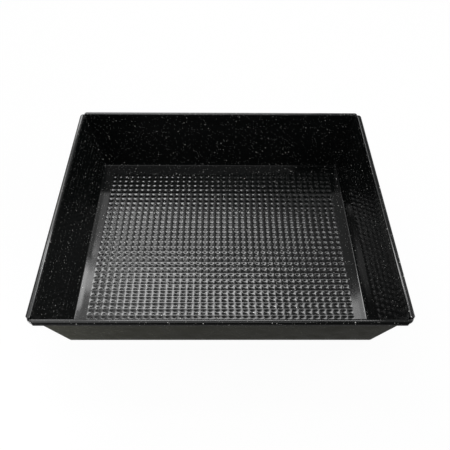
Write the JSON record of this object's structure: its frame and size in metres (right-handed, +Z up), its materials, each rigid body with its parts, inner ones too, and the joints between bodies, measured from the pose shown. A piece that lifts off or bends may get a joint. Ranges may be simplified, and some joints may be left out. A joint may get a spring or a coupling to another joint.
{
  "type": "baking pan",
  "caption": "Deep rectangular sheet-steel baking pan with flared walls, a waffle-embossed base and a rim rolled round a wire with clipped corners.",
  "frame": {"origin": "under the middle of the base, at the level of the waffle tips that the pan stands on", "axes": "+X along the long side of the rim, +Y from the front wall to the back wall, +Z up out of the open mouth"},
  "size_m": [0.38, 0.32, 0.08],
  "materials": {
    "coating": "glossy black coating with fine white speckle inside, satin outside",
    "wire": "semi-gloss black coating"
  },
  "bodies": {
    "root": {"pan_body": "coating", "rim_wire": "wire"}
  },
  "joints": []
}
